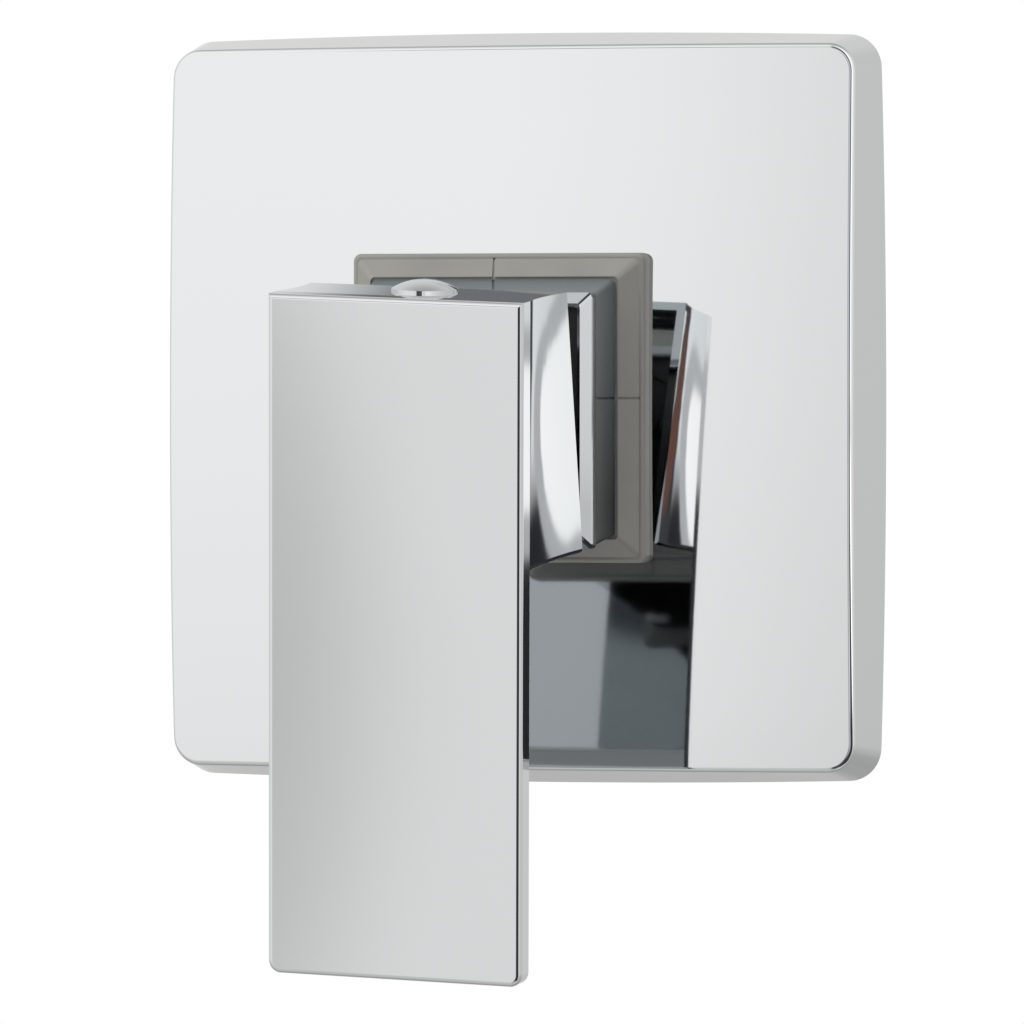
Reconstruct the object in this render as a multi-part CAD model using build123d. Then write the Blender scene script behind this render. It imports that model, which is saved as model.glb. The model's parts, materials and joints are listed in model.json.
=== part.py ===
from build123d import *
import math
import os

# Single-lever shower mixer, all sizes in millimetres.
# Every piece is drawn in the wall frame: X to the right, Y up, Z out of the wall,
# Z = 0 on the finished wall. Pieces on the handle are drawn in the handle frame,
# whose origin is the tilt pivot and whose Z points out along the stem.
# The last step turns everything so that +Z is up and the front faces -Y.

# Driving sizes, from the photograph
PLATE = 155.3            # square face plate across the middles of its bowed sides
PLATE_BOW = 1.2          # how far the middle of a side stands out past its corners
PLATE_CORNER = 7.0
PLATE_LEAN = 2.4         # how far the middle of a side leans in on its way to the face
FACE_BOW = 0.2           # the same bulge where the side meets the face
PLATE_FRONT = 17.5       # middle of the domed face, above the wall
PLATE_DOME = 1300.0      # radius of the domed face
PLATE_EDGE = 2.0         # rounding between face and sides
FLANGE = 63.6            # grey collar's square foot
FOOT_CORNER = 1.6
NECK_CORNER = 1.0
NECK_FOOT = 52.7
NECK_NOSE = 51.6
NECK_SAG = 2.6           # the collar's nose sits this much low, to follow the closed lever
SLEEVE_FRONT = 20.4      # sleeve's front above the plate's middle
NECK_TOP = 16.5
LEVER_WIDTH = 54.3
LEVER_LENGTH = 138.2
LEVER_THICK = 4.8
LEVER_EDGE = 1.05        # rounding of the lever's front edges
HUB_HEIGHT = 54.2        # hub's rim, top to bottom
TOP_LEAN = 1.0           # degrees that the hub's top side rises towards the lever
RIM_WIDTH = 55.0         # hub across its flared rim
HUB_TOP_DEPTH = 26.0     # lever's front face back to the hub's rim, at the top
HUB_LOW_DEPTH = 36.4     # the same at the bottom
FACE_TO_PIVOT = 50.0     # lever's front face back to the tilt pivot
REST_TILT = 6.1          # degrees that the closed handle's axis points down
REST_TURN = 2.3          # degrees that it is turned to the cold side
LIFT = 25.0              # degrees of lever lift, closed to full flow
TURN_HALF = 45.0         # degrees either way of the middle temperature
PLUG = 13.6              # domed plug over the grub screw
PLUG_BACK = 18.1         # plug's centre behind the lever's face

# Driving sizes, from such valves
PLATE_WALL = 1.6
CARTRIDGE = 35.0         # ceramic cartridge's diameter
BODY_R = 21.5            # valve body's cup, outside
THREAD_R = 9.32          # G1/2 female thread at its crests
PORT_REACH = 45.0        # valve axis to the end of each pipe port
PIPE_DEPTH = 35.0        # pipe axes behind the finished wall
STEM = 9.0               # square stem
STEM_ARM = 10.5          # pivot down to the ball that drives the ceramic disc
PIN_R = 1.5
PIVOT_OUT = 15.0         # pivot in front of the plate's middle
FIX_PITCH = 62.0         # screw holes that hold the valve body in the wall
FIX_HOLE_R = 2.75

# Clearances
RUN = 0.05               # radial, pivot pin in stem
TURN_FIT = 0.10          # radial, rotor in its housing
SLIDE_FIT = 0.15         # side, disc carrier between the rotor's cheeks
FILM = 0.02              # between the two ceramic discs
LOOSE = 0.4              # between pieces that pass each other
FAR = 60.0               # longer than anything that is cut around the cartridge

# Levels above the wall, worked out from the sizes above
PIVOT = PLATE_FRONT + PIVOT_OUT
NOSE = PLATE_FRONT + SLEEVE_FRONT
NECK_END = PLATE_FRONT + NECK_TOP
RIM_BACK = 0.8
SEAT = PIVOT - 26.3
BASE_TOP = SEAT + 5.5
DISC_TOP = BASE_TOP + 3.5
SLIDER_BOTTOM = DISC_TOP + FILM
CARRIER_BOTTOM = DISC_TOP + 3.0
CARRIER_TOP = CARRIER_BOTTOM + 5.7
ROTOR_FLOOR = CARRIER_TOP + 0.2
ROTOR_SHOULDER = CARRIER_TOP + 3.7
HOUSE_ROOF = ROTOR_SHOULDER + 0.1
HOUSE_TOP = HOUSE_ROOF + 2.5
TURRET_TOP = HOUSE_TOP + 6.0
CAM_TOP = TURRET_TOP + 1.6
ROTOR_TOP = CAM_TOP + 0.3
CUP_TOP = HOUSE_ROOF

HOUSE_R = CARTRIDGE / 2
CAVITY_R = HOUSE_R - 2.1
ROTOR_R = 10.5
TURRET_R = 13.0
DISC_R = 13.5
SLIDER_R = 11.0
CARRIER_FLAT = 10.5
BALL_R = 2.7
CLOSED_OFFSET = STEM_ARM * math.sin(math.radians(REST_TILT))
FLANGE_BACK = -13.0
FLANGE_FRONT = -8.0

HOT = -1
COLD = 1

os.makedirs("parts", exist_ok=True)
UPRIGHT = Rot(90, 0, 0)
TURNED = Rot(0, 0, -REST_TURN)
HANDLE = Pos(0, 0, PIVOT) * TURNED * Rot(REST_TILT, 0, 0)


def save(name, shape, place=Location()):
    solid = UPRIGHT * place * shape
    solid.label = name
    export_step(solid, f"parts/{name}.step")
    print(f"{name:18s} volume {solid.volume:10.1f} mm3")


def slab(face, low, high):
    """A flat face drawn on XY, raised from low to high."""
    return extrude(Pos(0, 0, low) * face, high - low)


def rod(radius, low, high):
    return slab(Circle(radius), low, high)


def ring(outer, inner, low, high):
    return rod(outer, low, high) - rod(inner, low - 1, high + 1)


def square(size, corner):
    return RectangleRounded(size, size, corner)


def across(radius, start, end, direction):
    """A rod along X or Y of the frame, between two distances from the axis."""
    turn = Rot(0, 90, 0) if direction == "x" else Rot(-90, 0, 0)
    return turn * rod(radius, start, end)


def four(shape, radius, first=0.0):
    """Four copies of a shape around the valve axis."""
    return [Rot(0, 0, first + 90 * n) * Pos(radius, 0, 0) * shape for n in range(4)]


def bowed_square(size, bow, corner):
    """A square whose sides bulge: the middles reach size / 2."""
    far = size / 2
    near = far - bow
    corners = [(near, near), (-near, near), (-near, -near), (near, -near)]
    middles = [(0, far), (-far, 0), (0, -far), (far, 0)]
    arcs = [ThreePointArc(corners[n], middles[n], corners[(n + 1) % 4]) for n in range(4)]
    face = make_face(arcs)
    return fillet(face.vertices(), corner)


def dome(radius_less=0.0):
    """The ball whose front is the plate's face, or a face further in."""
    return Pos(0, 0, PLATE_FRONT - PLATE_DOME) * Sphere(PLATE_DOME - radius_less)


# Face plate, its gasket and the frame that carries it

COLLAR_HOLE_R = 23.6
SPIGOT_R = 23.2
SPIGOT_BORE = 22.0
FRAME_BACK = 3.2
FRAME_FRONT = 6.2
TOWER_AT = 33.0
TOWER_R = 4.2
RING_IN = 24.2
RING_OUT = 31.0


def plate_block(shrink, low):
    outline = bowed_square(PLATE - 2 * shrink, PLATE_BOW, PLATE_CORNER - shrink / 2)
    face_size = PLATE - 2 * shrink - 2 * PLATE_LEAN
    face_outline = bowed_square(face_size, FACE_BOW, PLATE_CORNER - shrink / 2)
    column = loft([Pos(0, 0, low) * outline, Pos(0, 0, PLATE_FRONT) * face_outline])
    return column & dome(shrink)


def escutcheon():
    outer = plate_block(0, RIM_BACK)
    front = outer.faces().sort_by(Axis.Z)[-1]
    outer = fillet(front.edges(), PLATE_EDGE)
    inner = plate_block(PLATE_WALL, RIM_BACK)
    shell = outer - inner - rod(COLLAR_HOLE_R, 0, 2 * PLATE_FRONT)
    rib_foot = PLATE / 2 - PLATE_WALL - 3.2
    rib = Pos(0, 0, FRAME_FRONT) * Box(5.0, 1.4, 4.2, align=(Align.CENTER, Align.CENTER, Align.MIN))
    ribs = []
    for offset in (-42.0, 42.0):
        ribs += [Rot(0, 0, 90 * n) * Pos(rib_foot + 1.2, offset, 0) * rib for n in range(4)]
    for one in ribs:
        shell += one & outer
    return shell


def gasket():
    outer = bowed_square(PLATE - 2 * PLATE_WALL - 1.6, PLATE_BOW, PLATE_CORNER - 1)
    inner = bowed_square(PLATE - 2 * PLATE_WALL - 12.0, PLATE_BOW, PLATE_CORNER - 3)
    return slab(outer, 0, FRAME_BACK) - slab(inner, -1, FRAME_BACK + 1)


def carrier_frame():
    outer = square(PLATE - 2 * PLATE_WALL - 5.0, PLATE_CORNER - 2)
    inner = square(PLATE - 2 * PLATE_WALL - 19.0, PLATE_CORNER - 4)
    frame = slab(outer, FRAME_BACK, FRAME_FRONT) - slab(inner, 0, 2 * FRAME_FRONT)
    frame += ring(RING_OUT, RING_IN, FRAME_BACK, FRAME_FRONT)
    arm_end = PLATE / 2 - PLATE_WALL - 5.0
    arm_start = RING_OUT - 2.0
    arm = Rectangle(arm_end - arm_start, 11.0)
    for one in four(slab(arm, FRAME_BACK, FRAME_FRONT), (arm_end + arm_start) / 2):
        frame += one
    web = Rectangle(arm_end - arm_start, 1.6)
    for one in four(slab(web, FRAME_FRONT, FRAME_FRONT + 1.5), (arm_end + arm_start) / 2 + 4.0):
        frame += one & rod(PLATE / 2 - 8.0, 0, 20)
    for one in four(rod(TOWER_R, FLANGE_FRONT, FRAME_BACK), TOWER_AT):
        frame += one
    for one in four(rod(2.2, FLANGE_FRONT - 1, 12), TOWER_AT):
        frame -= one
    for one in four(rod(4.0, FRAME_FRONT, 12), TOWER_AT):
        frame -= one
    return frame


def carrier_screws():
    shank = rod(2.0, FLANGE_BACK, FRAME_FRONT)
    head = rod(3.6, FRAME_FRONT, FRAME_FRONT + 2.4)
    head = fillet(head.edges().group_by(Axis.Z)[-1], 0.8)
    recess = slab(RegularPolygon(1.5, 6, major_radius=False), FRAME_FRONT + 0.8, 12)
    return Compound(four(shank + head - recess, TOWER_AT))


# Grey collar and chrome sleeve

SLEEVE_OUT = NECK_NOSE + 0.6
SLEEVE_WALL = 2.8
SLEEVE_BEVEL = 2.2       # the bevel's width on the sleeve's front
BEVEL_FALL = 1.0
COLLAR_WALL = 2.0
GROOVE_WIDE = 0.5
GROOVE_DEEP = 0.45
FOOT_EDGE = 2.7
FOOT_ROUND = 0.9
BASE_LINE = 0.5          # fine groove round the neck's foot
FLOOR = 1.0
CLIP_R = 1.3
SEAL_CORD_R = 0.5
FOOT_TOP = 5.5
MARK_SIDE = (2.0, 2.0, 2.0)   # each mark's shift at its foot, at the neck's base and at the nose
MARK_TOP = (0.8, 0.0, -3.9)


def neck_solid(inset, low, high):
    """The leaning neck, inset all round, from its foot level low to its nose level high."""
    foot = Pos(0, 0, low) * square(NECK_FOOT - 2 * inset, NECK_CORNER)
    nose = Pos(0, -NECK_SAG, high) * square(NECK_NOSE - 2 * inset, NECK_CORNER)
    return loft([foot, nose])


def collar():
    foot_low = PLATE_FRONT - 2.0
    edge = PLATE_FRONT + FOOT_EDGE
    shoulder = PLATE_FRONT + FOOT_TOP
    foot = slab(square(FLANGE, FOOT_CORNER), foot_low, edge)
    foot = fillet(foot.edges().group_by(Axis.Z)[-1], FOOT_ROUND)
    slope = loft([Pos(0, 0, edge - 0.2) * square(FLANGE - 2 * FOOT_ROUND, FOOT_CORNER - 0.4),
                  Pos(0, 0, shoulder) * square(NECK_FOOT + 2 * BASE_LINE, NECK_CORNER)])
    body = foot + slope + neck_solid(0, shoulder, NECK_END)
    body -= neck_solid(COLLAR_WALL, shoulder, NECK_END + 0.01)
    body -= dome()
    body += ring(SPIGOT_R, SPIGOT_BORE, PLATE_FRONT - 7.0, PLATE_FRONT + FOOT_TOP - 2.0)
    body -= rod(SPIGOT_BORE, 0, shoulder)
    body -= slab(square(NECK_FOOT - 2 * COLLAR_WALL, NECK_CORNER), shoulder - 1.5, shoulder)
    base_line = slab(square(NECK_FOOT + 2 * BASE_LINE, NECK_CORNER), shoulder - GROOVE_DEEP, shoulder + 1)
    base_line -= slab(square(NECK_FOOT, NECK_CORNER), 0, NECK_END)
    body -= base_line
    return body - index_grooves(shoulder)


def index_grooves(shoulder):
    """A fine line on each side, up the foot and along the neck, as a row of places on the collar's skin."""
    cuts = []
    foot_end = FLANGE / 2 - FOOT_ROUND
    for n in range(4):
        shifts = MARK_TOP if n == 1 else MARK_SIDE
        places = [Vector(foot_end, shifts[0], PLATE_FRONT + FOOT_EDGE),
                  Vector(NECK_FOOT / 2 + BASE_LINE, shifts[1], shoulder),
                  Vector(NECK_FOOT / 2, shifts[1], shoulder),
                  Vector(neck_reach(n), shifts[2], NECK_END)]
        for a, b in (places[:2], places[2:]):
            along = Plane((a + b) / 2, x_dir=b - a, z_dir=(b - a).cross(Vector(0, 1, 0)))
            line = Box((b - a).length, GROOVE_WIDE, 2 * GROOVE_DEEP)
            cuts.append(Rot(0, 0, 90 * n) * along.location * line)
    return cuts


def neck_reach(n):
    """How far the neck's nose stands from the axis on side n, counted from +X towards +Y."""
    return NECK_NOSE / 2 + (0, -NECK_SAG, 0, NECK_SAG)[n]


def sleeve():
    """Chrome ring on the collar's nose, held by a clip in each corner."""
    centre = Pos(0, -NECK_SAG, 0)
    body = slab(centre * square(SLEEVE_OUT, NECK_CORNER), NECK_END, NOSE - BEVEL_FALL)
    body += loft([Pos(0, 0, NOSE - BEVEL_FALL) * centre * square(SLEEVE_OUT, NECK_CORNER),
                  Pos(0, 0, NOSE) * centre * square(SLEEVE_OUT - 2 * SLEEVE_BEVEL, NECK_CORNER)])
    body -= slab(centre * square(SLEEVE_OUT - 2 * SLEEVE_WALL, NECK_CORNER), NECK_END + FLOOR, NOSE + 1)
    body -= slab(centre * square(NECK_NOSE - 9.2, NECK_CORNER), 0, NOSE + 1)
    clip_at = NECK_NOSE / 2 - COLLAR_WALL - CLIP_R - 0.5
    for x, y in ((1, 1), (-1, 1), (-1, -1), (1, -1)):
        body += centre * Pos(x * clip_at, y * clip_at, 0) * rod(CLIP_R, NECK_END - 3.5, NECK_END + FLOOR)
    return body


def inner_shield():
    """Black cover between the sleeve and the cartridge nut."""
    outline = Pos(0, -NECK_SAG, 0) * square(SLEEVE_OUT - 2 * SLEEVE_WALL - 0.4, NECK_CORNER)
    low = NECK_END + FLOOR
    body = slab(outline, low, low + 1.2)
    body += ring(TURRET_R + 5.2, TURRET_R + 4.0, NECK_END - 0.8, low + 1.2)
    return body - rod(TURRET_R + 4.0, 0, 2 * NOSE)


def spigot_seal():
    """O-ring in the valve body's groove, inside the collar's spigot."""
    return Pos(0, 0, PLATE_FRONT - 4.0) * Torus(SPIGOT_BORE - SEAL_CORD_R, SEAL_CORD_R)


# Valve body in the wall

CUP_THREAD = 19.2
CUP_BORE = HOUSE_R + 0.1
CUP_LEDGE = CUP_TOP - 9.0
BLOCK_R = 24.0
BLOCK_BACK = -52.0
PORT_R = 14.5
BORE_R = 6.0
OUTLET_R = 5.5
INLET_AT = (9.5, -5.6)
OUTLET_AT = (0.0, 4.5)
PORT_DEPTH = 15.0


def valve_body():
    body = rod(BODY_R, FLANGE_FRONT, CUP_TOP)
    body += rod(BLOCK_R, BLOCK_BACK, FLANGE_FRONT)
    body += slab(square(FIX_PITCH + 16.0, 8.0), FLANGE_BACK, FLANGE_FRONT)
    for direction in ("x", "y"):
        body += Pos(0, 0, -PIPE_DEPTH) * across(PORT_R, -PORT_REACH, PORT_REACH, direction)
    for side in (-1, 1):
        for direction in ("x", "y"):
            collar_ring = across(PORT_R + 1.5, PORT_REACH - 6.0, PORT_REACH, direction)
            facing = Rot(0, 0, 0 if side > 0 else 180)
            body += Pos(0, 0, -PIPE_DEPTH) * facing * collar_ring
            thread = across(THREAD_R, PORT_REACH - PORT_DEPTH, PORT_REACH + 1, direction)
            body -= Pos(0, 0, -PIPE_DEPTH) * facing * thread
    body -= rod(CUP_BORE, SEAT, CUP_TOP + 1)
    body -= rod(CUP_THREAD, CUP_LEDGE, CUP_TOP + 1)
    body -= spigot_seal()
    for side in (-1, 1):
        facing = Rot(0, 0, 0 if side > 0 else 180)
        body -= Pos(0, 0, -PIPE_DEPTH) * facing * across(BORE_R, 7.0, PORT_REACH, "x")
        body -= Pos(side * INLET_AT[0], INLET_AT[1], 0) * rod(2.4, -PIPE_DEPTH, SEAT + 1)
        body -= Pos(side * 12.0, 9.0, 0) * rod(1.6, SEAT - 3.0, SEAT + 1)
    body -= Pos(0, 0, -PIPE_DEPTH) * across(OUTLET_R, -PORT_REACH, PORT_REACH, "y")
    body -= Pos(*OUTLET_AT, 0) * rod(2.6, -PIPE_DEPTH, SEAT + 1)
    for one in four(rod(FIX_HOLE_R, FLANGE_BACK - 1, FLANGE_FRONT + 1), FIX_PITCH / math.sqrt(2), 45):
        body -= one
    for one in four(rod(2.0, FLANGE_BACK - 1, FLANGE_FRONT + 1), TOWER_AT):
        body -= one
    return body


WASHER_R = 13.2
HEAD_AT = PORT_REACH + 1.5
HEAD_FLAT = 11.0
HEAD_TALL = 5.0
PLUG_THREAD = 10.0
KEY_FLAT = 5.0


def hexagon(flat, low, high):
    """A six-sided bar along +Y."""
    return Rot(-90, 0, 0) * slab(RegularPolygon(flat, 6, major_radius=False), low, high)


def outlet_plug():
    """Plug in the unused lower outlet."""
    body = across(THREAD_R, PORT_REACH - PLUG_THREAD, HEAD_AT, "y")
    body += hexagon(HEAD_FLAT, HEAD_AT, HEAD_AT + HEAD_TALL)
    body -= hexagon(KEY_FLAT, HEAD_AT - 0.5, HEAD_AT + HEAD_TALL + 1)
    return Pos(0, 0, -PIPE_DEPTH) * Rot(0, 0, 180) * body


def plug_washer():
    washer = across(WASHER_R, PORT_REACH, HEAD_AT, "y") - across(THREAD_R, 0, HEAD_AT + 1, "y")
    return Pos(0, 0, -PIPE_DEPTH) * Rot(0, 0, 180) * washer


def check_valve(side):
    """Non-return valve with its strainer in one inlet."""
    start, end = 13.0, 28.0
    body = across(BORE_R - 0.05, start, end, "x") - across(BORE_R - 1.4, start + 3.0, end + 1, "x")
    for n in range(4):
        window = Pos((start + end) / 2 + 2.0, 0, 0) * Box(6.0, 3.0, 4 * BORE_R)
        body -= Rot(45 * n, 0, 0) * window
    poppet = across(3.4, start + 3.0, start + 7.0, "x") + across(1.2, start, end - 2.0, "x")
    body -= across(2.6, start - 1, start + 3.5, "x")
    cage = across(BORE_R - 0.05, end - 2.0, end, "x") - across(3.0, end - 3, end + 1, "x")
    spider = Pos(end - 1.0, 0, 0) * Box(2.0, 2 * BORE_R - 1.0, 1.6)
    facing = Rot(0, 0, 0 if side > 0 else 180)
    return Pos(0, 0, -PIPE_DEPTH) * facing * (body + poppet + cage + spider)


NUT_FLAT = 19.5
NUT_OUT = 21.6
NUT_TOP = HOUSE_TOP + 2.5


def retaining_nut():
    body = rod(CUP_THREAD - 0.05, CUP_LEDGE + 3.0, CUP_TOP + 0.2)
    flats = slab(RegularPolygon(NUT_FLAT, 6, major_radius=False), CUP_TOP + 0.2, NUT_TOP)
    body += flats & rod(NUT_OUT, 0, FAR)
    body -= rod(HOUSE_R + 0.2, 0, HOUSE_TOP)
    return body - rod(TURRET_R + 0.1, 0, FAR)


# Ceramic cartridge

PORT_SLOT = 3.4
DISC_INLET = (5.0, -5.6)
DISC_INLET_R = 1.6
DISC_OUTLET_R = 2.3
MIX_R = 6.0
MIX_DEEP = 1.5


def cartridge_housing():
    body = rod(HOUSE_R, SEAT + 0.5, HOUSE_TOP)
    body = chamfer(body.edges().group_by(Axis.Z)[-1], 0.8)
    body += rod(TURRET_R, HOUSE_TOP - 0.1, TURRET_TOP)
    body -= rod(CAVITY_R, 0, HOUSE_ROOF)
    body -= rod(ROTOR_R + TURN_FIT, 0, FAR)
    for angle in (60, 180, 300):
        notch = Pos(HOUSE_R, 0, SEAT + 5.0) * Box(1.6, 4.0, 7.0)
        body -= Rot(0, 0, angle) * notch
    teeth = [Rot(0, 0, 12 * n) * Pos(TURRET_R, 0, TURRET_TOP - 4.5) * Box(0.7, 0.8, 2.0) for n in range(30)]
    return body - teeth


def cartridge_base():
    body = rod(CAVITY_R - 0.1, SEAT, BASE_TOP)
    body += ring(CAVITY_R - 0.1, DISC_R + 0.1, BASE_TOP - 0.1, BASE_TOP + 2.5)
    for side in (-1, 1):
        channel = SlotCenterToCenter(INLET_AT[0] - DISC_INLET[0], PORT_SLOT)
        middle = side * (INLET_AT[0] + DISC_INLET[0]) / 2
        body -= slab(Pos(middle, INLET_AT[1]) * channel, SEAT + 2.0, BASE_TOP + 1)
        body -= Pos(side * INLET_AT[0], INLET_AT[1], 0) * rod(2.2, SEAT - 1, SEAT + 3)
        body -= Pos(side * INLET_AT[0], INLET_AT[1], 0) * rod(3.4, SEAT - 1, SEAT + 1.4)
        body += Pos(side * 12.0, 9.0, 0) * rod(1.5, SEAT - 2.6, SEAT + 0.1)
    body -= Pos(*OUTLET_AT, 0) * rod(2.4, SEAT - 1, BASE_TOP + 1)
    return body - Pos(*OUTLET_AT, 0) * rod(3.8, SEAT - 1, SEAT + 1.4)


def port_seals():
    seals = [Pos(side * INLET_AT[0], INLET_AT[1], 0) * ring(3.4, 2.2, SEAT, SEAT + 1.4) for side in (-1, 1)]
    seals.append(Pos(*OUTLET_AT, 0) * ring(3.8, 2.4, SEAT, SEAT + 1.4))
    return Compound(seals)


def fixed_disc():
    body = rod(DISC_R, BASE_TOP, DISC_TOP)
    for side in (-1, 1):
        body -= Pos(side * DISC_INLET[0], DISC_INLET[1], 0) * rod(DISC_INLET_R, 0, 20)
    return body - Pos(*OUTLET_AT, 0) * rod(DISC_OUTLET_R, 0, 20)


def moving_disc():
    """Ceramic disc whose pocket joins the inlets to the outlet as it slides and turns."""
    body = rod(SLIDER_R, SLIDER_BOTTOM, CARRIER_BOTTOM)
    body &= Pos(0, 0, CARRIER_BOTTOM) * Box(2 * CARRIER_FLAT, FAR, FAR)
    body -= Pos(0, 0.5, 0) * rod(MIX_R, 0, SLIDER_BOTTOM + MIX_DEEP)
    for side in (-1, 1):
        body -= Pos(0, side * SLIDER_R, CARRIER_BOTTOM) * Box(4.0, 3.0, 2.4)
    return Pos(0, CLOSED_OFFSET, 0) * body


def disc_carrier():
    """Slides and turns the ceramic disc; the stem's ball sits in its pocket."""
    body = rod(SLIDER_R, CARRIER_BOTTOM, CARRIER_TOP)
    body &= Pos(0, 0, CARRIER_BOTTOM) * Box(2 * CARRIER_FLAT, FAR, FAR)
    for side in (-1, 1):
        key = Pos(0, side * (SLIDER_R - 0.85), CARRIER_BOTTOM - 0.5) * Box(3.8, 1.2, 1.2)
        body += key & rod(SLIDER_R, 0, FAR)
    pocket = 2 * BALL_R + 0.2
    body -= Pos(0, 0, CARRIER_BOTTOM + 0.5 + 10) * Box(pocket, pocket, 20)
    for side in (-1, 1):
        body -= Pos(side * 6.8, 0, CARRIER_TOP) * Box(3.2, 9.0, 3.0)
    return Pos(0, CLOSED_OFFSET, 0) * body


CHEEK_WIDE = 6.0
CHEEK_LONG = 14.0
SLOT_LONG = 16.0
CAM_R = 12.6
TAB_WIDE = 4.0
TAB_END = 15.7
LIMIT_R = 16.4
POST_WIDE = 3.6
POST_IN = 14.3
POST_TURN = 19.0


def rotor():
    """Turns in the housing, holds the stem's pin and drives the disc carrier."""
    flange_r = CAVITY_R - TURN_FIT - 0.1
    body = rod(ROTOR_R, ROTOR_SHOULDER - 0.1, ROTOR_TOP)
    body += rod(flange_r, ROTOR_FLOOR, ROTOR_SHOULDER)
    cheek_low = DISC_TOP + 0.8
    cheek_in = CARRIER_FLAT + SLIDE_FIT
    for side in (-1, 1):
        cheek = Pos(side * (cheek_in + CHEEK_WIDE / 2), 0, (cheek_low + ROTOR_FLOOR) / 2 + 0.1)
        body += cheek * Box(CHEEK_WIDE, CHEEK_LONG, ROTOR_FLOOR - cheek_low + 0.2) & rod(flange_r, 0, FAR)
    body -= Pos(0, 0, PIVOT + 15.2) * Box(STEM + 2 * SLIDE_FIT, SLOT_LONG, 40.0)
    body -= Pos(0, 0, ROTOR_FLOOR) * Box(5.4, 13.0, 20.0)
    return body - Pos(0, 0, PIVOT) * across(PIN_R, -12, 12, "x")


def pivot_pin():
    pin = across(PIN_R, -9.4, 9.4, "x")
    return Pos(0, 0, PIVOT) * chamfer(pin.edges(), 0.25)


def stop_cam():
    """Ring on the rotor whose tab meets the limit ring's posts."""
    low = TURRET_TOP + 0.1
    tab_start = ROTOR_R + 1.0
    body = ring(CAM_R, ROTOR_R, low, CAM_TOP)
    tab = Pos(0, -(tab_start + TAB_END) / 2) * Rectangle(TAB_WIDE, TAB_END - tab_start)
    return body + (slab(tab, low, CAM_TOP) - rod(tab_start, 0, FAR))


def limit_ring():
    low = NUT_TOP + 0.1
    body = ring(LIMIT_R, TURRET_R + 0.1, low, TURRET_TOP - 0.9)
    post = Pos(0, -(POST_IN + LIMIT_R) / 2) * Rectangle(POST_WIDE, LIMIT_R - POST_IN)
    for side in (-1, 1):
        upright = slab(post, TURRET_TOP - 1.0, CAM_TOP) & rod(LIMIT_R, 0, FAR)
        body += Rot(0, 0, side * (TURN_HALF + POST_TURN)) * upright
    return body


# Handle and what rides on it, in the handle frame

FACE = FACE_TO_PIVOT
LEVER_BACK = FACE - LEVER_THICK
TOP = HUB_HEIGHT / 2
FLARE = (RIM_WIDTH - LEVER_WIDTH) / 2
HALF = LEVER_WIDTH / 2
HUB_WALL = 1.8
HUB_SCOOP = 0.9
HUB_LOW_EDGE = 1.0
RIB = 2.2
RIB_CLEAR = 9.0           # ribs start this far in front of the bush's step
RIM_TOP = FACE - HUB_TOP_DEPTH
RIM_LOW = FACE - HUB_LOW_DEPTH
ROOF = LEVER_BACK - 3.4
BUSH = 13.0
BUSH_LOW = 16.0
BUSH_TIP = BUSH - 1.6
UP_TURN = math.radians(LIFT - REST_TILT)
BUSH_NOSE = (ROTOR_TOP - PIVOT + LOOSE + BUSH_TIP / 2 * math.sin(UP_TURN)) / math.cos(UP_TURN)
BUSH_TOP = ROOF
STEM_END = BUSH_TOP - 1.5
PLUG_Z = FACE - PLUG_BACK
PLUG_STEM_R = 5.4
LEVER_RISE = (LEVER_BACK - RIM_TOP) * math.tan(math.radians(TOP_LEAN))
PLUG_SEAT = Pos(0, TOP, RIM_TOP) * Rot(-TOP_LEAN, 0, 0) * Pos(0, 0, PLUG_Z - RIM_TOP) * Rot(-90, 0, 0)


def flank_section(inset, rim_level, high):
    """The hub cut across its height: hollow flanks that flare from the lever's back to the rim."""
    near = HALF - inset
    rim = near + FLARE
    scooped = (near + rim) / 2 - HUB_SCOOP
    middle = (rim_level + high) / 2
    flank = ThreePointArc((near, high), (scooped, middle), (rim, rim_level))
    other = ThreePointArc((-rim, rim_level), (-scooped, middle), (-near, high))
    ends = [Line((rim, rim_level), (-rim, rim_level)), Line((-near, high), (near, high))]
    return Rot(90, 0, 0) * make_face([flank, ends[0], other, ends[1]])


def hub_column(inset, extra, high):
    """The hub inset all round, from its slanting rim, extra further back, to a level near the lever."""
    top = Pos(0, TOP - inset, RIM_TOP) * Rot(-TOP_LEAN, 0, 0) * Pos(0, 0, -RIM_TOP)
    sections = [top * flank_section(inset, RIM_TOP - extra, high),
                Pos(0, inset - TOP, 0) * flank_section(inset, RIM_LOW - extra, high)]
    return loft(sections, ruled=True)


def rim_cut(lift):
    """Everything behind the hub's slanting rim, the rim raised by lift."""
    slope = math.degrees(math.atan2(RIM_TOP - RIM_LOW, HUB_HEIGHT))
    middle = (RIM_TOP + RIM_LOW) / 2 + lift
    return Pos(0, 0, middle) * Rot(slope, 0, 0) * Pos(0, 0, -50) * Box(200, 200, 100)


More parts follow.
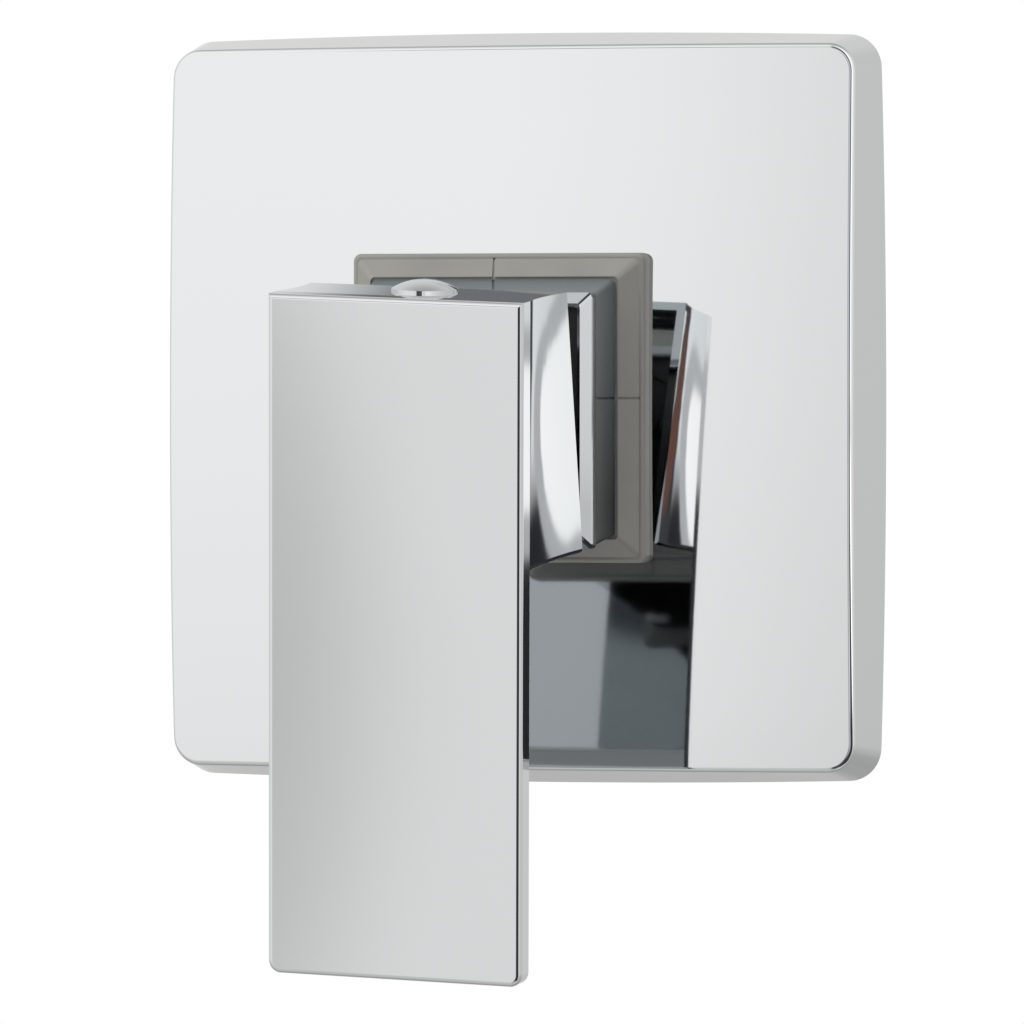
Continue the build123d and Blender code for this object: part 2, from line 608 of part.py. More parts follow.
def handle():
    hub = hub_column(0, 0, LEVER_BACK + 0.1)
    corners = hub.edges().filter_by(lambda edge: abs(edge.tangent_at(0.5).Z) > 0.9 and edge.length < FACE)
    hub = fillet(corners.group_by(Axis.Y)[0], HUB_LOW_EDGE)
    hollow = hub_column(HUB_WALL, 1.0, ROOF)
    blade = Box(LEVER_WIDTH, LEVER_LENGTH, LEVER_THICK, align=(Align.CENTER, Align.MAX, Align.MAX))
    blade = fillet(blade.edges().filter_by(Axis.Z).group_by(Axis.Y)[0], 2.6)
    blade = fillet(blade.edges().group_by(Axis.Z)[-1], LEVER_EDGE)
    blade = Pos(0, TOP + LEVER_RISE, FACE) * blade
    shell = blade + (hub - hollow)
    boss = rod(10.2, BUSH_LOW + 1.0, ROOF + 0.5)
    pad = Pos(0, 11.0, PLUG_Z) * Box(11.0, 8.0, 12.0)
    rib_low = BUSH_LOW + RIB_CLEAR
    cross = Rectangle(2 * HALF - 2, RIB) + Rectangle(RIB, 2 * TOP - 2)
    ribs = slab(cross, rib_low, ROOF)
    ribs -= rim_cut(4.0)
    shell += boss + pad + (ribs & hub_column(HUB_WALL / 2, 0, ROOF + 0.5))
    shell -= Pos(0, 0, (BUSH_LOW + BUSH_TOP) / 2) * Box(BUSH, BUSH, BUSH_TOP - BUSH_LOW)
    shell -= Pos(0, 0, PLUG_Z) * across(2.5, 0, 16.0, "y")
    return shell - PLUG_SEAT * rod(PLUG_STEM_R, -6.0, 2.0)


def stem_bushing():
    """Black insulating bush that carries the handle on the stem."""
    body = slab(Rectangle(BUSH, BUSH), BUSH_LOW, BUSH_TOP)
    body += slab(Rectangle(BUSH_TIP, BUSH_TIP), BUSH_NOSE, BUSH_LOW)
    body -= slab(Rectangle(STEM, STEM), 0, STEM_END)
    return body - Pos(0, 0, PLUG_Z) * across(2.6, 0, 12.0, "y")


def lever_stem():
    eye = across(STEM / 2, -STEM / 2, STEM / 2, "x")
    shaft = slab(Rectangle(STEM, STEM), 0, STEM_END)
    shaft = chamfer(shaft.edges().group_by(Axis.Z)[-1], 0.8)
    tongue = Pos(0, 0, -STEM_ARM / 2) * Box(4.0, 3.2, STEM_ARM)
    ball = Pos(0, 0, -STEM_ARM) * Sphere(BALL_R)
    body = eye + shaft + tongue + ball
    return body - across(PIN_R + RUN, -12, 12, "x")


def set_screw():
    low, high = STEM / 2, 12.5
    body = Pos(0, 0, PLUG_Z) * across(2.5, low, high, "y")
    key = slab(RegularPolygon(1.25, 6, major_radius=False), -1, 2.6)
    socket = Pos(0, high, PLUG_Z) * Rot(90, 0, 0) * key
    return body - socket


def screw_plug():
    """Domed plug on top of the hub."""
    rim = 0.5
    rise = 1.9
    radius = PLUG / 2
    ball = (radius**2 + rise**2) / (2 * rise)
    cap = Pos(0, 0, rim + rise - ball) * Sphere(ball)
    body = rod(radius, 0, 3 * rise) & cap
    body += ring(PLUG_STEM_R - 0.02, PLUG_STEM_R - 1.2, -2.2, 0.3)
    return PLUG_SEAT * body


save("escutcheon_plate", escutcheon())
save("wall_gasket", gasket())
save("carrier_frame", carrier_frame())
save("carrier_screws", carrier_screws())
save("collar", collar())
save("sleeve", sleeve())
save("inner_shield", inner_shield())
save("spigot_seal", spigot_seal())
save("valve_body", valve_body())
save("outlet_plug", outlet_plug())
save("plug_washer", plug_washer())
save("hot_check_valve", check_valve(HOT))
save("cold_check_valve", check_valve(COLD))
save("retaining_nut", retaining_nut())
save("cartridge_housing", cartridge_housing())
save("cartridge_base", cartridge_base())
save("port_seals", port_seals())
save("fixed_disc", fixed_disc())
save("limit_ring", limit_ring())
save("moving_disc", moving_disc(), TURNED)
save("disc_carrier", disc_carrier(), TURNED)
save("rotor", rotor(), TURNED)
save("pivot_pin", pivot_pin(), TURNED)
save("stop_cam", stop_cam(), TURNED)
save("handle", handle(), HANDLE)
save("stem_bushing", stem_bushing(), HANDLE)
save("lever_stem", lever_stem(), HANDLE)
save("set_screw", set_screw(), HANDLE)
save("screw_plug", screw_plug(), HANDLE)
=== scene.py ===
import json
import math

import bpy
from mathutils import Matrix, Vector


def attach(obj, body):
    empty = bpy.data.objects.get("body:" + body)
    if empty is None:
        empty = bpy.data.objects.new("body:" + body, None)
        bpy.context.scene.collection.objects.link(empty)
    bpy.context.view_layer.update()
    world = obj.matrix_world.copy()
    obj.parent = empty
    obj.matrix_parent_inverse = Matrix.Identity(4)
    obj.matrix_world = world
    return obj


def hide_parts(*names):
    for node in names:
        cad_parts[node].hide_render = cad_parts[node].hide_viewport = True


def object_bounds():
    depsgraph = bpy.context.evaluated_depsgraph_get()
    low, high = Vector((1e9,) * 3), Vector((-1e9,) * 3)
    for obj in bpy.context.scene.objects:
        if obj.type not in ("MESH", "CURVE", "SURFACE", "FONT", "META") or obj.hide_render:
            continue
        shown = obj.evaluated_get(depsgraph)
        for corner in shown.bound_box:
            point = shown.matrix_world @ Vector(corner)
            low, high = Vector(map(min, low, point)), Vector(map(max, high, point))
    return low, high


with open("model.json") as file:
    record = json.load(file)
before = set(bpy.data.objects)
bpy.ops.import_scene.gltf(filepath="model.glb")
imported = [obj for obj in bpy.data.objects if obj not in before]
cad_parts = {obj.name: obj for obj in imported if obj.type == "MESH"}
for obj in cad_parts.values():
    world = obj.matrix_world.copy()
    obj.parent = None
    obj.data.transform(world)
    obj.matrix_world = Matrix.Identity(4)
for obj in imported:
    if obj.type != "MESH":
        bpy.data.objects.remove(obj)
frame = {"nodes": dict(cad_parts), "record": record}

CAD_BOX = [list(corner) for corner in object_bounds()]
NODES = frame["nodes"]
MM = 0.001

# Camera, fitted to the corners of the plate, collar and lever in the photograph
CAMERA_TURN = 19.267         # degrees to the object's right
CAMERA_RISE = 0.677
CAMERA_DISTANCE = 2.1966
CAMERA_AIM = Vector((-0.003948, 0.0, -0.021693))
FOCAL_PIXELS = 10575.3
FRAME_PIXELS = 1024
SENSOR = 36.0

FLOOR_DROP = 0.23            # the mixer hangs on a wall, so the floor is well below it
FLOOR_HALF = 2.4
FLOOR_CLOUDS = 400.0         # how wide the paint's faint clouds are, in millimetres


# Sizes taken over from the CAD, in millimetres in the wall frame: x right, y up, z out of the wall

PLATE = 155.3
PLATE_BOW = 1.2
PLATE_CORNER = 7.0
PLATE_LEAN = 2.4
FACE_BOW = 0.2
PLATE_FRONT = 17.5
PLATE_DOME = 1300.0
PLATE_EDGE = 2.0
PLATE_WALL = 1.6
RIM_BACK = 0.8
COLLAR_HOLE_R = 23.6
RIB_PLACES = (-42.0, 42.0)   # along each side, inside the plate's rim
RIB_HALF = 0.7
RIB_REACH = (71.55, 74.4)    # from the plate's middle
RIB_LEVELS = (6.2, 10.4)
NECK_BASE = 5.5              # from the plate's middle to the collar's base line


# Nodes and colours; the sizes of the patterns are in millimetres

CHROME_SWELL = 9.0           # the buffed metal under the plating isn't quite even
CHROME_SWELL_DEPTH = 0.0012
FLOW_MARKS = 12.0
CASTING_PATCHES = 8.0
NECK_PAINTED_SHADE_LOW = -20.0            # painted shade on the collar's neck: darkest from here down, lightest from the next level up
NECK_PAINTED_SHADE_HIGH = 18.0
NECK_LINE = 0.2              # the width of the step between the collar's two greys


def linear(hex_colour):
    """An sRGB hex value as the linear colour that a shader takes."""
    channels = [int(hex_colour[n:n + 2], 16) / 255 for n in (0, 2, 4)]
    return [c / 12.92 if c <= 0.04045 else ((c + 0.055) / 1.055) ** 2.4 for c in channels] + [1.0]


def add(tree, kind, settings=None, **links):
    """A node with its settings; a link is an output socket or a plain value, for an input's name or number."""
    made = tree.nodes.new(kind)
    for key, value in (settings or {}).items():
        setattr(made, key, value)
    for key, value in links.items():
        name = key.replace("_", " ")
        socket = made.inputs[int(key[1:])] if key[0] == "i" and key[1:].isdigit() else made.inputs[name]
        if isinstance(value, bpy.types.NodeSocket):
            tree.links.new(value, socket)
        else:
            socket.default_value = value
    return made


def shader(name, metallic=0.0, colour="808080", roughness=0.5):
    """A new material with its Principled shader: (material, tree, shader, object coordinates)."""
    material = bpy.data.materials.new(name)
    material.use_nodes = True
    tree = material.node_tree
    tree.nodes.clear()
    surface = add(tree, "ShaderNodeBsdfPrincipled", Metallic=metallic, Roughness=roughness,
                  Base_Color=linear(colour))
    output = add(tree, "ShaderNodeOutputMaterial", Surface=surface.outputs["BSDF"])
    output.is_active_output = True
    place = add(tree, "ShaderNodeTexCoord").outputs["Object"]
    return material, tree, surface, place


def noise(tree, place, size_mm, detail=2.0, stretch=(1, 1, 1)):
    """A noise pattern whose lumps are about size_mm wide."""
    turned = add(tree, "ShaderNodeMapping", Vector=place, Scale=stretch)
    made = add(tree, "ShaderNodeTexNoise", Vector=turned.outputs[0], Scale=1000.0 / size_mm, Detail=detail)
    return made.outputs[0]


def spread(tree, value, low, high, start=0.3, end=0.7):
    """A pattern's middle range stretched to low and high."""
    made = add(tree, "ShaderNodeMapRange", i0=value, i1=start, i2=end, i3=low, i4=high)
    return made.outputs[0]


def bump(tree, surface, height, depth_mm):
    """A relief so many millimetres deep on the shader."""
    made = add(tree, "ShaderNodeBump", Height=height, Strength=1.0, Distance=depth_mm * MM)
    tree.links.new(made.outputs[0], surface.inputs["Normal"])


def chrome(name, colour, roughness, smear):
    """Bright chrome over a polished base: a mirror with a faint swell of the buffed metal and thin smears."""
    material, tree, surface, place = shader(name, 1.0, colour, roughness)
    film = noise(tree, place, smear, 3.0)
    tree.links.new(spread(tree, film, roughness * 0.8, roughness * 1.3), surface.inputs["Roughness"])
    bump(tree, surface, noise(tree, place, CHROME_SWELL, 1.0), CHROME_SWELL_DEPTH)
    return material


def moulded(name, colour, shade, roughness, grain_mm, depth_mm):
    """Moulded plastic or rubber: slight flow marks in the colour and a fine spark-eroded grain."""
    material, tree, surface, place = shader(name, 0.0, colour, roughness)
    flow = spread(tree, noise(tree, place, FLOW_MARKS), 0.0, 1.0)
    mixed = add(tree, "ShaderNodeMix", {"data_type": "RGBA"}, i0=flow, i6=linear(colour), i7=linear(shade))
    tree.links.new(mixed.outputs[2], surface.inputs["Base Color"])
    grain = noise(tree, place, grain_mm, 2.0)
    tree.links.new(spread(tree, grain, roughness * 0.9, roughness * 1.12), surface.inputs["Roughness"])
    bump(tree, surface, grain, depth_mm)
    return material


def two_tone_collar_with_painted_shade(name):
    """Satin grey foot and, in front of its base line, a darker blue-grey neck: its tone is partly its own and
    partly painted shade, which deepens lower down.
    """
    material = moulded(name, "8C8A84", "868480", 0.38, 0.35, 0.004)
    tree = material.node_tree
    surface = next(node for node in tree.nodes if node.type == "BSDF_PRINCIPLED")
    foot = surface.inputs["Base Color"].links[0].from_socket
    place = next(node for node in tree.nodes if node.type == "TEX_COORD").outputs["Object"]
    x, y, z = add(tree, "ShaderNodeSeparateXYZ", i0=place).outputs
    # painted shade on the neck: its blue-grey darkens towards the bottom
    painted_shade = spread(tree, z, 0.0, 1.0, NECK_PAINTED_SHADE_LOW * MM, NECK_PAINTED_SHADE_HIGH * MM)
    neck = add(tree, "ShaderNodeMix", {"data_type": "RGBA"}, i0=painted_shade, i6=linear("2E3133"), i7=linear("636A6C"))
    base = PLATE_FRONT + NECK_BASE
    front = spread(tree, y, 1.0, 0.0, -base * MM, -(base - NECK_LINE) * MM)
    both = add(tree, "ShaderNodeMix", {"data_type": "RGBA"}, i0=front, i6=foot, i7=neck.outputs[2])
    tree.links.new(both.outputs[2], surface.inputs["Base Color"])
    return material


def metal(name, colour, shade, roughness, grain_mm, depth_mm, stretch=(1, 1, 1)):
    """Bare metal: slightly uneven colour and the marks of casting or turning."""
    material, tree, surface, place = shader(name, 1.0, colour, roughness)
    patches = spread(tree, noise(tree, place, CASTING_PATCHES, 3.0), 0.0, 1.0)
    mixed = add(tree, "ShaderNodeMix", {"data_type": "RGBA"}, i0=patches, i6=linear(colour), i7=linear(shade))
    tree.links.new(mixed.outputs[2], surface.inputs["Base Color"])
    grain = noise(tree, place, grain_mm, 3.0, stretch)
    tree.links.new(spread(tree, grain, roughness * 0.85, roughness * 1.2), surface.inputs["Roughness"])
    bump(tree, surface, grain, depth_mm)
    return material


# Materials by the record's slots

MATERIALS = {
    # chrome-plated brass sheet: a cool mirror, nearly flat and clean
    "chrome_plate": chrome("chrome_plated_brass_sheet", "CBCED0", 0.03, 60.0),
    # chrome-plated zinc casting: the same plate over a slightly softer polish
    "chrome_handle": chrome("chrome_plated_zinc_casting", "CBCED0", 0.035, 45.0),
    # chrome-plated brass ring: turned and polished, a darker and softer mirror
    "chrome_sleeve": chrome("chrome_plated_brass_ring", "A6AAAC", 0.06, 30.0),
    # chrome-plated ABS: the moulding's surface leaves it a little less sharp
    "chrome_plug": chrome("chrome_plated_ABS", "CBCED0", 0.07, 20.0),
    # glass-filled nylon: warm mid grey with a satin skin; its neck is a darker blue-grey, partly painted shade
    # that deepens lower down
    "grey_polymer": two_tone_collar_with_painted_shade("grey_glass_filled_nylon_with_painted_neck_shade"),
    # black acetal: nearly black with a dull sheen
    "black_plastic": moulded("black_acetal", "1B1B1C", "212123", 0.45, 0.3, 0.004),
    # white acetal: creamy, with a dull sheen
    "white_plastic": moulded("white_acetal", "E6E4DC", "DEDCD4", 0.4, 0.3, 0.003),
    # cast brass: sand-cast grain, dull yellow
    "brass": metal("cast_brass", "C9A35A", "B98F4C", 0.34, 0.6, 0.02),
    # stainless steel: bright, with turning marks
    "steel": metal("stainless_steel", "BFC0C0", "B2B3B4", 0.25, 0.25, 0.003, (1, 1, 6)),
    # alumina ceramic: lapped, white and silky
    "alumina": moulded("alumina_ceramic", "EFEDE4", "E9E7DD", 0.22, 0.2, 0.001),
    # NBR rubber: matt black
    "rubber": moulded("NBR_rubber", "19191A", "1F1F20", 0.6, 0.5, 0.006),
    # closed-cell foam: dark grey with open pores at the cut
    "foam": moulded("closed_cell_foam", "2C2C2D", "242425", 0.85, 0.7, 0.12),
    # vulcanised fibre: reddish brown and dull
    "fibre": moulded("vulcanised_fibre", "7A4230", "6E3A2B", 0.65, 0.4, 0.01),
}

for subpart in frame["record"]["subparts"]:
    finish = MATERIALS[subpart["material_slot"]]
    mesh = NODES[subpart["node"]].data
    mesh.materials.clear()
    mesh.materials.append(finish)


# Face plate, drawn again from the CAD's own sizes with a regular net of points, so that its thin rounding
# mirrors a straight line as a straight line.

SIDE_STEPS = 40
CORNER_STEPS = 14
ARC_STEPS = 10
FACE_STEPS = 12
FACE_SUPPORTS = [0.993, 0.9985]      # rows close to the rounding keep the mirror image even up to its edge
SIDE_SUPPORTS = [0.01, 0.05]
SHARP_EDGE = math.radians(30)


def outline(size, bow, corner):
    """Points round a square with bowed sides and round corners, the same count for every size."""
    far = size / 2
    near = far - bow
    radius = (near ** 2 + bow ** 2) / (2 * bow)
    low = far - radius
    # the corner's circle touches the two bowed sides from inside: its middle is at (m, m)
    m = (low + math.sqrt(max(0.0, 2 * (radius - corner) ** 2 - low ** 2))) / 2
    reach = math.atan2(m, m - low)
    quarter = []
    for n in range(SIDE_STEPS):
        angle = -reach + 2 * reach * n / SIDE_STEPS
        quarter.append((radius * math.sin(angle), low + radius * math.cos(angle)))
    for n in range(CORNER_STEPS):
        angle = reach + (math.pi / 2 - 2 * reach) * n / CORNER_STEPS
        quarter.append((m + corner * math.sin(angle), m + corner * math.cos(angle)))
    points = []
    for x, y in ((1, 0), (0, -1), (-1, 0), (0, 1)):
        points += [Vector((a * x - b * y, a * y + b * x)) for a, b in quarter]
    return points


def dome_height(x, y, less=0.0):
    """The domed face's level above the wall, or that of a dome so much smaller in radius inside it."""
    return PLATE_FRONT - PLATE_DOME + math.sqrt((PLATE_DOME - less) ** 2 - x * x - y * y)


def meets_dome(foot, head, less=0.0):
    """Where the side's straight line from the rim runs into the dome."""
    share = 1.0
    for _ in range(8):
        here = foot.lerp(head, share)
        share += (dome_height(here.x, here.y, less) - here.z) / (head.z - foot.z)
    return foot.lerp(head, share)


def plate_profile(foot, head, inner_foot, inner_head, inward):
    """The plate's section at one place of its outline: a closed row of points out from the hole and back."""
    edge = meets_dome(foot, head)
    down = (foot - head).normalized()
    slope = -(edge.x * inward.x + edge.y * inward.y) / (edge.z - PLATE_FRONT + PLATE_DOME)
    along = Vector((inward.x, inward.y, slope)).normalized()
    half = down.angle(along) / 2
    middle = edge + (down + along).normalized() * PLATE_EDGE / math.sin(half)
    length = PLATE_EDGE / math.tan(half)
    start, end = edge + along * length - middle, edge + down * length - middle
    arc = [middle + start.slerp(end, n / ARC_STEPS) for n in range(ARC_STEPS + 1)]
    inner = meets_dome(inner_foot, inner_head, PLATE_WALL)
    hole = Vector((arc[0].x, arc[0].y)).normalized() * COLLAR_HOLE_R
    rows = []
    for share in [n / FACE_STEPS for n in range(FACE_STEPS)] + FACE_SUPPORTS:
        x, y = hole.lerp(arc[0].xy, share)
        rows.append(Vector((x, y, dome_height(x, y))))
    rows += arc + [arc[-1].lerp(foot, share) for share in SIDE_SUPPORTS + [0.5, 1.0]]
    rows += [inner_foot, inner]
    for n in range(1, FACE_STEPS // 2 + 1):
        x, y = inner.xy.lerp(hole, 2 * n / FACE_STEPS)
        rows.append(Vector((x, y, dome_height(x, y, PLATE_WALL))))
    return rows


def world_point(point):
    """From the wall frame in millimetres to the scene's frame in metres."""
    return (point[0] * MM, -point[2] * MM, point[1] * MM)


def plate_piece():
    """The plate's skin with eight short ribs that snap onto the carrier frame."""
    rings = []
    for shrink in (0.0, PLATE_WALL):
        size = PLATE - 2 * shrink
        corner = PLATE_CORNER - shrink / 2
        rings.append([p.to_3d() + Vector((0, 0, RIM_BACK)) for p in outline(size, PLATE_BOW, corner)])
        face = outline(size - 2 * PLATE_LEAN, FACE_BOW, corner)
        rings.append([p.to_3d() + Vector((0, 0, PLATE_FRONT)) for p in face])
    count = len(rings[0])
    points, faces = [], []
    for n in range(count):
        run = (rings[1][(n + 1) % count] - rings[1][n - 1]).normalized()
        points += plate_profile(*(ring[n] for ring in rings), Vector((run.y, -run.x, 0.0)))
    rows = len(points) // count
    for n in range(count):
        for k in range(rows):
            a, b = n * rows + k, n * rows + (k + 1) % rows
            c, d = (n + 1) % count * rows + (k + 1) % rows, (n + 1) % count * rows + k
            faces.append((a, b, c, d))
    for offset in RIB_PLACES:
        for x, y in ((1, 0), (0, 1), (-1, 0), (0, -1)):
            first = len(points)
            for along in RIB_REACH:
                for aside in (offset - RIB_HALF, offset + RIB_HALF):
                    for level in RIB_LEVELS:
                        points.append((along * x - aside * y, along * y + aside * x, level))
            faces += [tuple(first + k for k in face) for face in (
                (0, 1, 3, 2), (4, 6, 7, 5), (0, 4, 5, 1), (2, 3, 7, 6), (1, 5, 7, 3), (0, 2, 6, 4))]
    mesh = bpy.data.meshes.new("plate_skin")
    mesh.from_pydata([world_point(p) for p in points], [], faces)
    for polygon in mesh.polygons:
        polygon.use_smooth = True
    mesh.set_sharp_from_angle(angle=SHARP_EDGE)
    made = bpy.data.objects.new("plate_skin", mesh)
    bpy.context.scene.collection.objects.link(made)
    mesh.materials.append(MATERIALS["chrome_plate"])
    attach(made, "fixed")
    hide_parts("escutcheon_plate")


plate_piece()


# Studio: what the chrome mirrors, the light and the floor

# What the chrome mirrors all round, as (degrees to the right, level) and (degrees up, level), where 1 is a
# white card.
ROUND = [(-180, 0.85), (-140, 0.85), (-97, 0.95), (-84, 1.1), (-53, 1.34), (-19, 1.34), (-15, 1.28),
         (-11, 1.15), (7, 1.2), (11, 1.55), (31, 1.6), (42, 1.3), (85, 1.0), (127, 0.88), (147, 0.82),
         (165, 0.88), (180, 0.85)]
UPWARD = [(-90, 0.5), (-35, 0.6), (-20, 0.7), (-15, 0.81), (-11, 0.83), (-7, 0.93), (0, 0.99), (6, 1.01),
          (15, 1.0), (40, 1.05), (60, 0.8), (75, 0.55), (90, 0.5)]
TINT = (1.01, 1.0, 0.98)
SOFT_LIGHT = [(-90, 0.05), (-10, 0.2), (20, 0.5), (90, 0.8)]     # what lights the matt pieces, by degrees up

# Cards, soft boxes and dark gaps that stand in that surround: the middle of each in degrees to the right and
# up, its half sizes, the width of its soft edge as a share of them, its level, its sRGB tint, how much of it
# shows, its shape, where 2 is an oval and 8 nearly a rectangle, and how far it leans up for each degree to the
# right. A later one stands in front of an earlier one.
MIRRORED = [
    (20.0, 21.0, 9.0, 18.0, 0.08, 1.7, "FFFFFF", 1.0, 8, 0.0),     # a tall strip light beside the camera
    (6.5, -22.0, 12.0, 17.6, 0.17, 0.05, "F0F4FF", 1.0, 6, 0.0),   # the dark room under the camera
    (24.0, -25.0, 17.0, 21.3, 0.04, 0.05, "F0F4FF", 1.0, 8, 0.0),  # the table's edge below the soft box
    (32.0, -3.7, 19.0, 2.8, 0.08, 0.95, "FFFFFF", 1.0, 2, -0.13),  # the grey frame of the oval soft box
    (33.0, -3.8, 14.0, 2.1, 0.10, 2.2, "FFFCFA", 1.0, 2, -0.14),   # the oval soft box right of the camera
    (0.0, 0.0, 8.8, 30.0, 0.2, 0.10, "E8F0FF", 1.0, 8, 0.0),       # the camera's stand
    (3.5, -1.5, 4.5, 2.0, 0.3, 0.25, "FFB8A0", 0.9, 2, 0.0),       # a warm wall beside the camera
    (-24.6, -12.6, 2.9, 3.4, 0.4, 0.78, "FFFFFF", 1.0, 2, 0.0),    # a grey card low on the left
    (-17.5, 16.0, 5.2, 3.4, 0.6, 0.30, "F4F8FF", 1.0, 2, 0.0),     # the dark edge of the ceiling
]


def card_share(tree, turn, rise, right, up, half_x, half_z, soft, shape, lean):
    """1 on a card, falling to 0 over its soft edge."""
    if lean:
        tilt = add(tree, "ShaderNodeMath", {"operation": "MULTIPLY_ADD"}, i0=turn, i1=-lean, i2=lean * right)
        rise = add(tree, "ShaderNodeMath", {"operation": "ADD"}, i0=rise, i1=tilt.outputs[0]).outputs[0]
    parts = []
    for angle, middle, half in ((turn, right, half_x), (rise, up, half_z)):
        away = add(tree, "ShaderNodeMath", {"operation": "SUBTRACT"}, i0=angle, i1=middle).outputs[0]
        size = add(tree, "ShaderNodeMath", {"operation": "ABSOLUTE"}, i0=away).outputs[0]
        share = add(tree, "ShaderNodeMath", {"operation": "DIVIDE"}, i0=size, i1=half).outputs[0]
        powered = add(tree, "ShaderNodeMath", {"operation": "POWER"}, i0=share, i1=float(shape))
        parts.append(powered.outputs[0])
    both = add(tree, "ShaderNodeMath", {"operation": "ADD"}, i0=parts[0], i1=parts[1]).outputs[0]
    far = add(tree, "ShaderNodeMath", {"operation": "POWER"}, i0=both, i1=1.0 / shape).outputs[0]
    made = add(tree, "ShaderNodeMapRange", {"interpolation_type": "SMOOTHSTEP"}, i0=far, i1=1.0,
               i2=1.0 + soft, i3=1.0, i4=0.0)
    return made.outputs[0]


def studio_world():
    """A world that the chrome mirrors as the surround with its cards, the matt pieces take as soft light from
    above, and the camera sees as white."""
    world = bpy.data.worlds.new("studio")
    bpy.context.scene.world = world
    world.use_nodes = True
    tree = world.node_tree
    tree.nodes.clear()
    towards = add(tree, "ShaderNodeTexCoord").outputs["Generated"]
    x, y, z = add(tree, "ShaderNodeSeparateXYZ", i0=towards).outputs
    ahead = add(tree, "ShaderNodeMath", {"operation": "MULTIPLY"}, i0=y, i1=-1.0).outputs[0]
    turn = add(tree, "ShaderNodeMath", {"operation": "ARCTAN2"}, i0=x, i1=ahead).outputs[0]
    turn = add(tree, "ShaderNodeMath", {"operation": "DEGREES"}, i0=turn).outputs[0]
    rise = add(tree, "ShaderNodeMath", {"operation": "ARCSINE"}, i0=z).outputs[0]
    rise = add(tree, "ShaderNodeMath", {"operation": "DEGREES"}, i0=rise).outputs[0]
    level = add(tree, "ShaderNodeMath", {"operation": "MULTIPLY"}, i0=curve(tree, turn, ROUND),
                i1=curve(tree, rise, UPWARD)).outputs[0]
    seen = add(tree, "ShaderNodeVectorMath", {"operation": "SCALE"}, i0=TINT, Scale=level).outputs[0]
    for right, up, half_x, half_z, soft, gain, tint, amount, shape, lean in MIRRORED:
        share = card_share(tree, turn, rise, right, up, half_x, half_z, soft, shape, lean)
        share = add(tree, "ShaderNodeMath", {"operation": "MULTIPLY"}, i0=share, i1=amount).outputs[0]
        card = [channel * warm * gain for channel, warm in zip(linear(tint), TINT)] + [1.0]
        seen = add(tree, "ShaderNodeMix", {"data_type": "RGBA"}, i0=share, i6=seen, i7=card).outputs[2]
    path = add(tree, "ShaderNodeLightPath").outputs
    soft_light = add(tree, "ShaderNodeVectorMath", {"operation": "SCALE"}, i0=(1.0, 1.0, 1.0),
                     Scale=curve(tree, rise, SOFT_LIGHT)).outputs[0]
    colour = add(tree, "ShaderNodeMix", {"data_type": "RGBA"}, i0=path["Is Glossy Ray"], i6=soft_light,
                 i7=seen)
    colour = add(tree, "ShaderNodeMix", {"data_type": "RGBA"}, i0=path["Is Camera Ray"], i6=colour.outputs[2],
                 i7=linear("FFFFFF"))
    back = add(tree, "ShaderNodeBackground", Color=colour.outputs[2], Strength=1.0)
    add(tree, "ShaderNodeOutputWorld", Surface=back.outputs[0])


def curve(tree, angle, points):
    """A level that follows the points (angle, level) along straight lines."""
    low, high = points[0][0], points[-1][0]
    top = max(level for _, level in points)
    along = add(tree, "ShaderNodeMapRange", i0=angle, i1=low, i2=high, i3=0.0, i4=1.0).outputs[0]
    made = add(tree, "ShaderNodeFloatCurve", Value=along)
    line = made.mapping.curves[0]
    for n, (at, level) in enumerate(points):
        place = ((at - low) / (high - low), level / top)
        if n in (0, len(points) - 1):
            line.points[0 if n == 0 else -1].location = place
        else:
            line.points.new(*place)
    for point in line.points:
        point.handle_type = "VECTOR"
    made.mapping.update()
    return add(tree, "ShaderNodeMath", {"operation": "MULTIPLY"}, i0=made.outputs[0], i1=top).outputs[0]


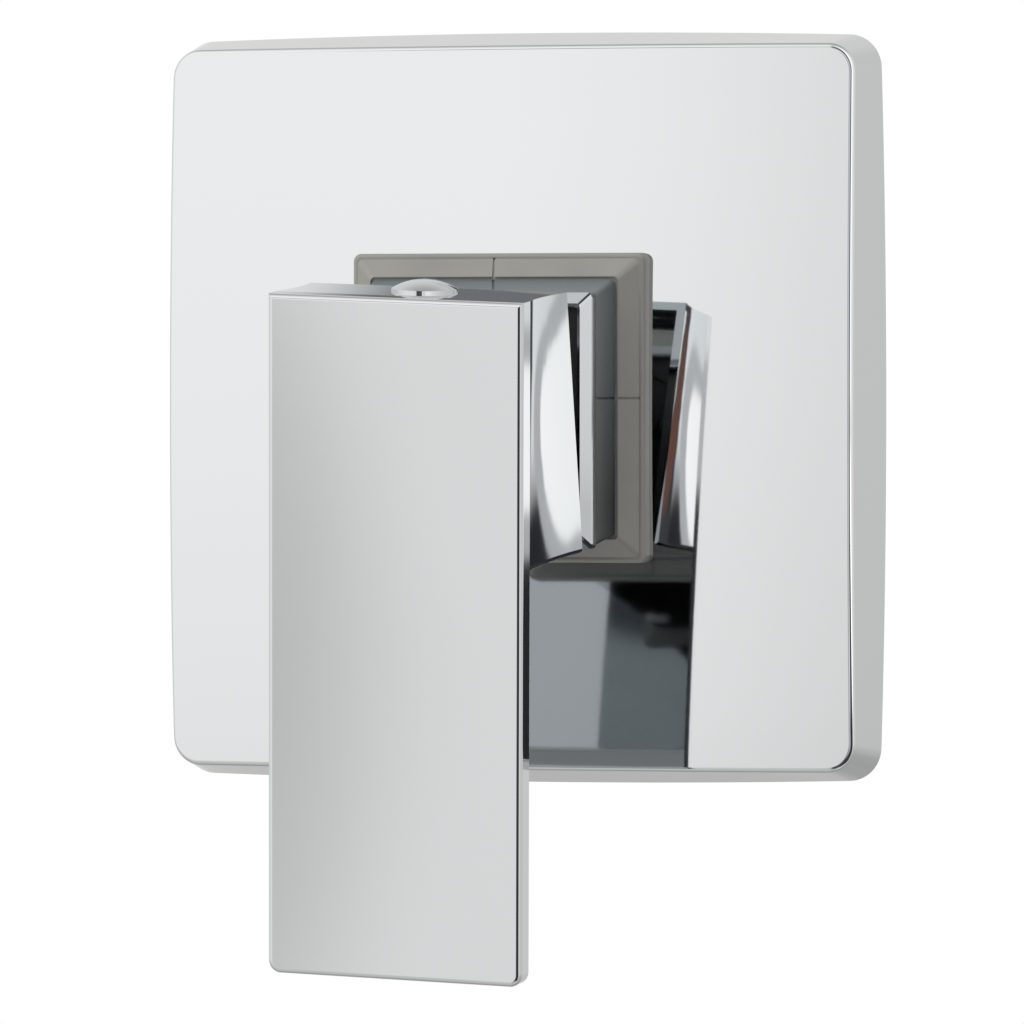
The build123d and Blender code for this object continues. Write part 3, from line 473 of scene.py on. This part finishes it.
def lamp(name, turn, rise, distance, size, power):
    """A soft box that lights the object but isn't seen in the chrome, where the world stands for it."""
    data = bpy.data.lights.new(name, "AREA")
    data.shape = "SQUARE"
    data.size = size
    data.energy = power
    made = bpy.data.objects.new(name, data)
    made.location = direction(turn, rise) * distance
    made.rotation_euler = (-made.location).to_track_quat("-Z", "Y").to_euler()
    made.visible_glossy = False
    made.visible_camera = False
    bpy.context.scene.collection.objects.link(made)


def direction(turn, rise):
    """From the object towards a place so many degrees to its right and up, seen from the front."""
    a, b = math.radians(turn), math.radians(rise)
    return Vector((math.sin(a) * math.cos(b), -math.cos(a) * math.cos(b), math.sin(b)))


def pale_floor():
    """A plain floor under the wall fitting, which keeps its shadow."""
    level = CAD_BOX[0][2] - FLOOR_DROP
    corners = [(x * FLOOR_HALF, y * FLOOR_HALF, level) for x, y in ((-1, -1), (1, -1), (1, 1), (-1, 1))]
    mesh = bpy.data.meshes.new("floor")
    mesh.from_pydata(corners, [], [(0, 1, 2, 3)])
    made = bpy.data.objects.new("floor", mesh)
    bpy.context.scene.collection.objects.link(made)
    material, tree, surface, place = shader("pale_painted_floor", 0.0, "E4E5E4", 0.8)
    clouds = spread(tree, noise(tree, place, FLOOR_CLOUDS), 0.0, 1.0)
    mixed = add(tree, "ShaderNodeMix", {"data_type": "RGBA"}, i0=clouds, i6=linear("E6E7E6"),
                i7=linear("E2E3E2"))
    tree.links.new(mixed.outputs[2], surface.inputs["Base Color"])
    mesh.materials.append(material)
    made.visible_glossy = False


def photo_camera():
    """The photograph's camera: a long lens, a little above the object and to its right."""
    data = bpy.data.cameras.new("camera")
    data.sensor_width = SENSOR
    data.lens = FOCAL_PIXELS / FRAME_PIXELS * SENSOR
    data.clip_start = 0.05
    data.clip_end = 50.0
    made = bpy.data.objects.new("camera", data)
    made.location = CAMERA_AIM + direction(CAMERA_TURN, CAMERA_RISE) * CAMERA_DISTANCE
    made.rotation_euler = (CAMERA_AIM - made.location).to_track_quat("-Z", "Y").to_euler()
    bpy.context.scene.collection.objects.link(made)
    bpy.context.scene.camera = made


bpy.context.scene.view_settings.view_transform = "Standard"
studio_world()
lamp("soft_box_above", -25.0, 55.0, 1.2, 0.9, 9.0)
lamp("soft_box_left", -60.0, 15.0, 1.2, 0.8, 4.0)
pale_floor()
photo_camera()
